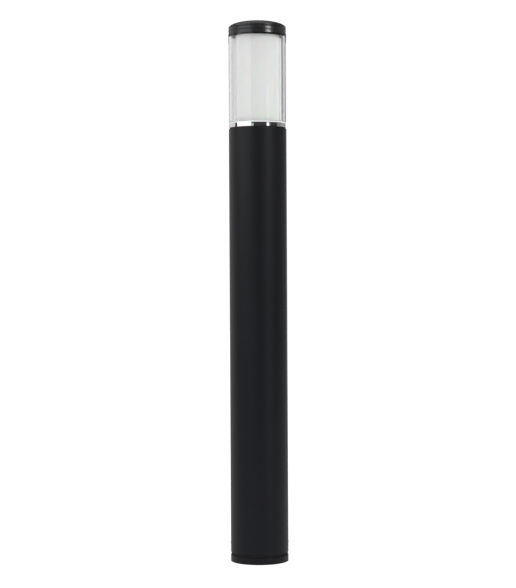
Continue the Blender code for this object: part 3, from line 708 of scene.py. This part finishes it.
cap_pitch, thread_depth = 4.0, 0.7
clamp_low, rim_high = span("top_ring")[1:]
clamp_high = clamp_low + 4.1
clamp_bore, rim_bore, rim_r = 31.5, 47.5, 50.5
rows = np.linspace(clamp_low + 1, rim_high - 0.8, 70)
rim = np.concatenate([
    [(clamp_bore, clamp_high), (clamp_bore, clamp_low), (rim_r - 0.7, clamp_low)],
    np.stack([np.full(70, rim_r), rows], 1),
    [(rim_r - 0.7, rim_high), (rim_bore, rim_high), (rim_bore, clamp_high)],
])
rim_cut = np.concatenate([np.zeros(3), np.full(70, thread_depth), np.zeros(3)])
clamp = lathe("clamp_ring", rim, head_coat, sides=160, thread=rim_cut, pitch=cap_pitch)
for turn in anchor_angles:
    x, y = rod_circle * np.cos(turn), rod_circle * np.sin(turn)
    bored(clamp, rod_r + 0.3, (x, y, clamp_low - 1), (x, y, clamp_high + 1), sides=24)
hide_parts("top_ring")
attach(clamp, "pole")

# The cap: spun and turned aluminium under a satin black paint, smoother than the post's. Three rounded
# beads make the grip, the top is a low dome, and two blind holes take a pin spanner.


def satin_paint(name, dark, light, roughness):
    """Sprayed satin paint: a shallow orange peel, with the gloss a little uneven."""
    material, shader, tree, place = shader_of(name)
    shader.inputs["Specular IOR Level"].default_value = 0.36
    peel = noise(tree, place, 3.2)
    grain = noise(tree, place, 0.45, detail=3)
    tree.links.new(tints(tree, noise(tree, place, 25, detail=4), dark, light), shader.inputs["Base Color"])
    tree.links.new(spread(tree, peel, roughness - 0.04, roughness + 0.05), shader.inputs["Roughness"])
    tree.links.new(relief(tree, [(peel, 0.012), (grain, 0.003)]), shader.inputs["Normal"])
    return material


def swell(low, high, crest, depth, steps=14):
    """The face of one bead, which bulges towards its foot: radius = crest - depth s^1.3, with s from 0 at low
    to 1 at high."""
    s = np.linspace(0, 1, steps)
    return np.stack([crest - depth * s**1.3, low + (high - low) * s], 1)


lip_r, cap_low, cap_high = span("cap")
first, second = cap_low + 7.9, cap_low + 14.2
shoulder_r, crown_rise = 51.8, 9.6
across = np.cos(np.linspace(0, np.pi / 2, 40))[1:, None]
crown = np.hstack([shoulder_r * across, cap_high - crown_rise + crown_rise * (1 - across**2.2) ** 0.7])
shoulder = np.concatenate([
    eased([(53.6, second + 0.35, 0), (54.0, second + 0.7, 0.2), (53.9, second + 2.1, 1.0),
           (52.5, cap_high - 10.2, 0)]),
    [(shoulder_r, cap_high - crown_rise)], crown,
])
outside = np.concatenate([
    [(lip_r - 0.5, cap_low), (lip_r - 0.05, cap_low + 0.25)],
    swell(cap_low + 0.5, first - 0.25, lip_r, 1.5), [(53.0, first), (53.9, first + 0.35)],
    swell(first + 0.6, second - 0.2, lip_r - 0.2, 1.3), [(52.9, second)], shoulder,
])
throat_r, neck_bore, mouth_r = 51.6, 50.9, bore_r + 1.9
rows = np.linspace(cap_low + 2.6, cap_high - 16, 60)
throat = np.stack([np.full(60, throat_r), rows], 1)[::-1]
ceiling = eased([
    (0, cap_high - 6, 0), (38, cap_high - 8, 4), (46, cap_high - 11, 2.5), (neck_bore, cap_high - 15, 1),
])
mouth = [(neck_bore, cap_low + 2.1), (mouth_r, cap_low + 2.1), (mouth_r, cap_low)]
inside = np.concatenate([ceiling, throat, mouth])
cut = np.zeros(len(inside) + len(outside))
cut[len(ceiling):len(ceiling) + len(throat)] = thread_depth
satin = satin_paint("satin_cap_paint", (0.0095, 0.0102, 0.0125), (0.0125, 0.0133, 0.0160), 0.25)
cap = lathe("beaded_cap", np.concatenate([inside, outside]), satin, sides=256, thread=cut, pitch=cap_pitch)
pin_x, pin_hole_r = 30, 2.2
for x in (-pin_x, pin_x):
    bored(cap, pin_hole_r, (x, 0, cap_high - 4.5), (x, 0, cap_high + 1), sides=32)
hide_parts("cap")
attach(cap, "cap")

seal_bore = 51.2
seal_r, seal_low, seal_high = span("cap_seal")
cap_seal = lathe("cap_gasket", eased([
    (seal_bore, seal_low, 0.5), (seal_r, seal_low, 0.6), (seal_r, seal_high, 0.4),
    (seal_bore, seal_high, 0.4),
]), black_rubber)
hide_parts("cap_seal")
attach(cap_seal, "cap_carrier")

# The studio: a pale floor in a white room. Cards and dark flags stand round the light, where only its gloss
# sees them, with a strip and a high light on the right and a wide soft light on the left. Two narrow cards
# behind tint the clear tube's edges, and the camera stands three metres away.


def glowing(name, points, faces, strength):
    """An evenly glowing card with no shine of its own, which only reflections see."""
    material = bpy.data.materials.new(name)
    material.use_nodes = True
    shader = material.node_tree.nodes["Principled BSDF"]
    shader.inputs["Base Color"].default_value = (0, 0, 0, 1)
    shader.inputs["Specular IOR Level"].default_value = 0
    shader.inputs["Emission Color"].default_value = (1, 1, 1, 1)
    shader.inputs["Emission Strength"].default_value = strength
    mesh = bpy.data.meshes.new(name)
    mesh.from_pydata(points, [], faces)
    mesh.materials.append(material)
    made = bpy.data.objects.new(name, mesh)
    bpy.context.scene.collection.objects.link(made)
    made.visible_camera = made.visible_diffuse = made.visible_transmission = made.visible_shadow = False
    return made


def card(name, start, end, low, high, distance, strength, columns=24):
    """A curved card on a circle round the post, from start to end degrees off the camera's side and from
    low to high in metres. Its points are distance (sin angle, -cos angle)."""
    turn = np.radians(np.linspace(start, end, columns))
    ring = np.stack([distance * np.sin(turn), -distance * np.cos(turn)], 1)
    points = np.concatenate([np.column_stack([ring, np.full(columns, z)]) for z in (low, high)])
    faces = [(k, k + 1, k + 1 + columns, k + columns) for k in range(columns - 1)]
    return glowing(name, points, faces, strength)


near, far = 2.3, 2.4
card("front_flag", -26, 139, 0.0, 1.4, far, 0.045)
card("upper_flag", -26, 139, 1.4, 3.2, far, 0.15)
card("left_softbox", -91, -26, 1.05, 3.2, far, 2.2)
card("left_window", -91, -26, 0.74, 1.05, far, 1.2)
card("left_low_flag", -98, -26, 0.0, 0.74, far, 0.03)
card("left_gap", -101, -89, 0.0, 3.2, far - 0.02, 0.02)
card("left_back", -150, -98, 0.0, 3.2, far, 0.75)
card("left_far", -168, -150, 0.0, 3.2, far, 0.5)
card("strip_light", 36, 46, 0.0, 1.14, near, 1.3)
card("strip_spill", 46, 52, 0.0, 1.14, near, 0.2)
card("box_spill", -26, -16, 0.0, 1.08, far - 0.02, 0.6)
card("high_light", 40, 55, 1.75, 2.4, near, 34.0)
card("right_card", 84, 106, 0.0, 3.2, near, 0.25)
card("right_back", 106, 150, 0.0, 3.2, near, 0.38)
card("back_flag", 150, 210, 1.3, 3.2, far, 0.04)
# A small flag just outside the cap's rim keeps the high light off its top, seen from behind.
card("cap_flag", -20, 115, cap_high * MM + 0.0003, 1.075, 0.062, 0.12)
# The two cards that tint the tube's edges are seen through the acrylic, and not in any gloss.
for side, start, end, strength in (("right_edge", 152, 166, 0.03), ("left_edge", -172, -164, 0.75)):
    edge_card = card(side, start, end, 0.0, 3.2, far + 0.1, strength)
    edge_card.visible_transmission, edge_card.visible_glossy = True, False
turn = np.linspace(0, 2 * np.pi, 48, endpoint=False)
disc = np.stack([far * np.cos(turn), far * np.sin(turn), np.full(len(turn), 0.0005)], 1)
glowing("ground_card", disc, [range(48)], 0.65)

floor = bpy.data.meshes.new("floor")
floor.from_pydata([(-12, -12, 0), (12, -12, 0), (12, 12, 0), (-12, 12, 0)], [], [(0, 1, 2, 3)])
floor_material = bpy.data.materials.new("floor")
floor_material.use_nodes = True
floor_shader = floor_material.node_tree.nodes["Principled BSDF"]
floor_shader.inputs["Base Color"].default_value = (0.3, 0.3, 0.3, 1)
floor_shader.inputs["Roughness"].default_value = 0.9
floor_shader.inputs["Specular IOR Level"].default_value = 0.0
floor_shader.inputs["Emission Color"].default_value = (1, 1, 1, 1)
floor_shader.inputs["Emission Strength"].default_value = 0.85
floor.materials.append(floor_material)
floor_piece = bpy.data.objects.new("floor", floor)
bpy.context.scene.collection.objects.link(floor_piece)

world = bpy.data.worlds.new("studio")
bpy.context.scene.world = world
world.use_nodes = True
world.cycles.sampling_method = "NONE"  # so that the cards and flags hide the white room behind them
world.node_tree.nodes["Background"].inputs["Color"].default_value = (1, 1, 1, 1)
world.node_tree.nodes["Background"].inputs["Strength"].default_value = 1.05
bpy.context.scene.view_settings.view_transform = "Standard"

lens = bpy.data.cameras.new("camera")
lens.lens = 100.58
lens.sensor_width = 36
camera = bpy.data.objects.new("camera", lens)
bpy.context.scene.collection.objects.link(camera)
camera.location = (-0.0007, -3.08, 0.542)
tilt_down, roll = np.radians(0.776), np.radians(0.286)
camera.rotation_euler = (np.pi / 2 - tilt_down, roll, 0)
bpy.context.scene.camera = camera
